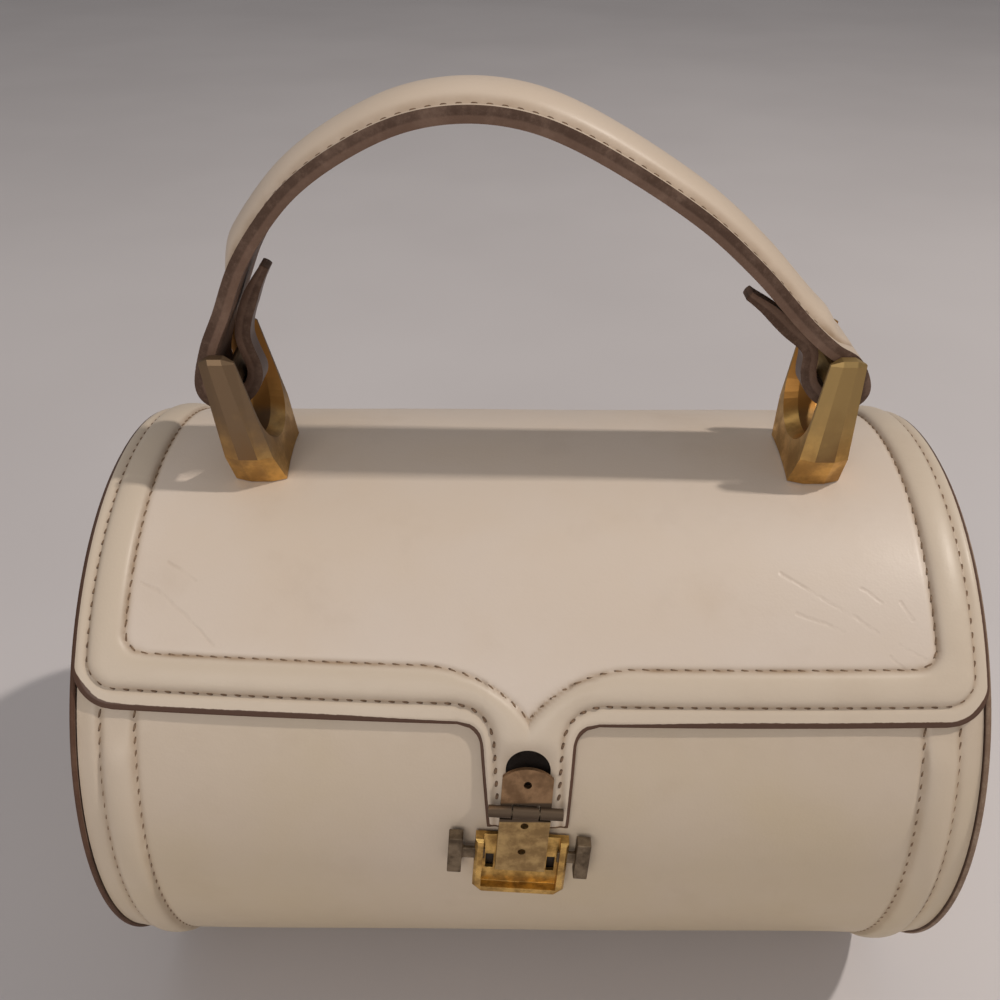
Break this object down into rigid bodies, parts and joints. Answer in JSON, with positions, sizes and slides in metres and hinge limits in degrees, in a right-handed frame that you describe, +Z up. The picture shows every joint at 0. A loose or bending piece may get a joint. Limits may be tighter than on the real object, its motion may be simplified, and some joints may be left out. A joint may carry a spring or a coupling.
{
  "type": "leather handbag",
  "caption": "Barrel-shaped leather handbag with a padded flap, an arched strap handle on faceted metal rings and a squeeze clasp with a hinged lever.",
  "frame": {"origin": "middle of the flat on the underside that the bag rests on, below the barrel's axis", "axes": "+Z up, +X along the barrel to the right as seen from the front, the clasp side faces -Y"},
  "size_m": [0.205, 0.1479, 0.2313],
  "materials": {
    "cream_leather": "smooth aged cream leather",
    "brown_leather": "brown painted leather edge",
    "gold_metal": "antique gold",
    "pewter_metal": "worn dark brass"
  },
  "bodies": {
    "bag": {"body_shell": "cream_leather", "end_panel_left": "brown_leather", "end_panel_right": "brown_leather", "flap": "cream_leather", "handle_strap": "cream_leather", "handle_ring_left": "gold_metal", "handle_ring_right": "gold_metal", "ring_rivet_left": "pewter_metal", "ring_rivet_right": "pewter_metal", "clasp_frame": "gold_metal", "clasp_hasp": "gold_metal", "clasp_pin": "pewter_metal"},
    "lever": {"clasp_lever": "gold_metal"},
    "tab_left": {"clasp_tab_left": "pewter_metal"},
    "tab_right": {"clasp_tab_right": "pewter_metal"}
  },
  "joints": [
    {"name": "lever_hinge", "type": "hinge", "parent": "bag", "child": "lever", "pos_m": [-0.00051, -0.07315, 0.0903], "axis": [-0.9976, 0.0032, 0.0697], "range_deg": [0, 110]},
    {"name": "tab_left_press", "type": "slide", "parent": "bag", "child": "tab_left", "axis": [0.9976, -0.0032, -0.0697], "range_m": [0, 0.0014], "stiffness_N_per_m": 400},
    {"name": "tab_right_press", "type": "slide", "parent": "bag", "child": "tab_right", "axis": [-0.9976, 0.0032, 0.0697], "range_m": [0, 0.0014], "stiffness_N_per_m": 400}
  ]
}
